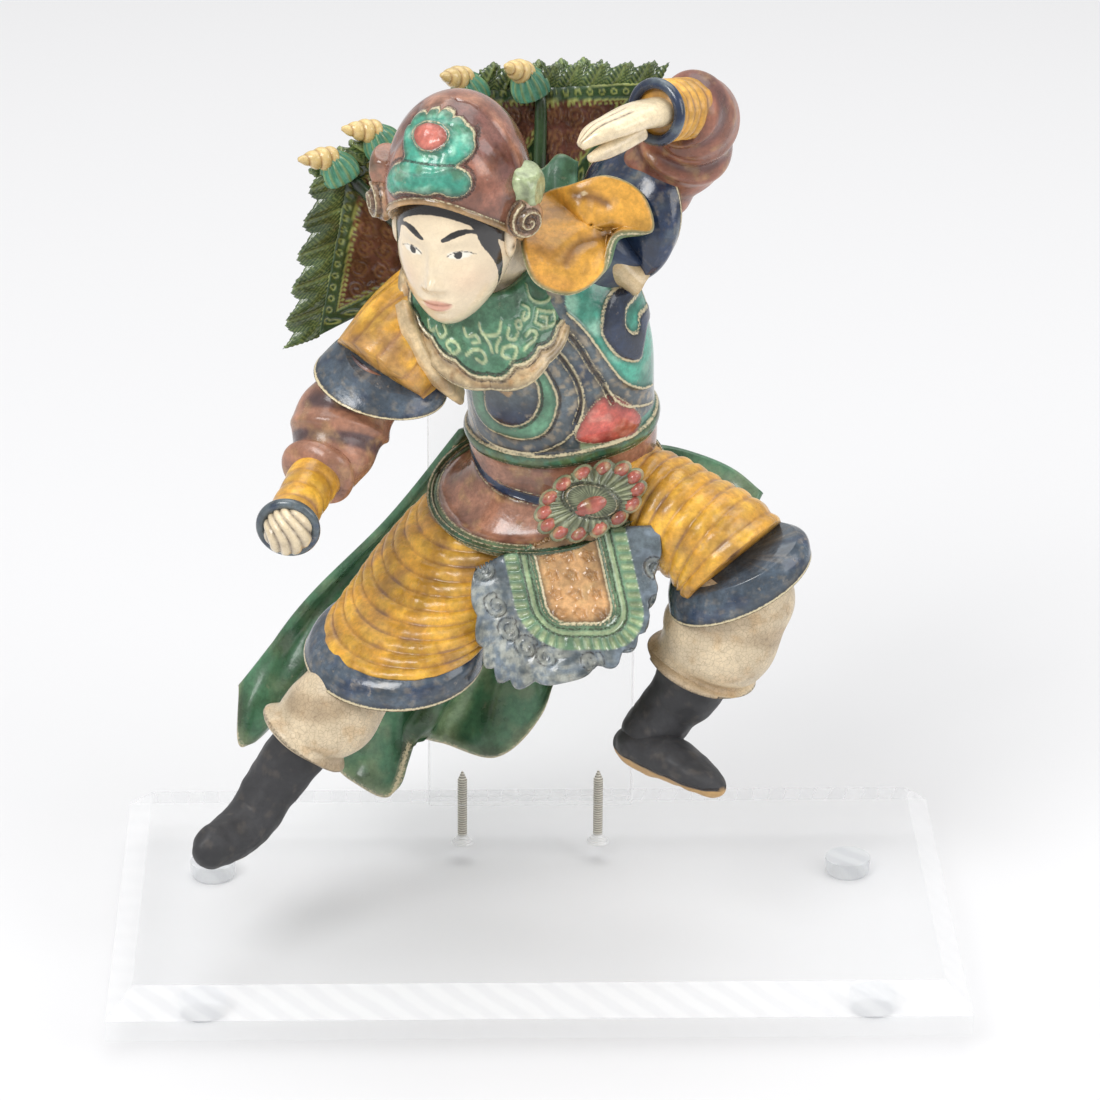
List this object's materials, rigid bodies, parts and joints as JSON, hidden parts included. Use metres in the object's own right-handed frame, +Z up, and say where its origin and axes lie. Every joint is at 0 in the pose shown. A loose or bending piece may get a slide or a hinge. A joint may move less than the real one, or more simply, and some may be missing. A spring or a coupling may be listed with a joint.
{
  "type": "roof ridge figure",
  "caption": "Glazed stoneware warrior in a leaping pose with pennants at the back, held clear of a bevelled acrylic slab by an upright acrylic plate.",
  "frame": {"origin": "centre of the acrylic slab, on the plane that the bumper feet stand on", "axes": "+Z up, -Y towards the viewer of the figure's front, +X to the viewer's right"},
  "size_m": [0.356, 0.206, 0.3921],
  "materials": {
    "glaze": "glossy, several glaze colours",
    "acrylic": "clear, polished",
    "steel": "plain",
    "bumper": "clear, soft"
  },
  "bodies": {
    "root": {"figure": "glaze", "acrylic_base": "acrylic", "acrylic_upright": "acrylic", "screw_left": "steel", "screw_right": "steel", "foot_front_left": "bumper", "foot_front_right": "bumper", "foot_back_left": "bumper", "foot_back_right": "bumper"}
  },
  "joints": []
}
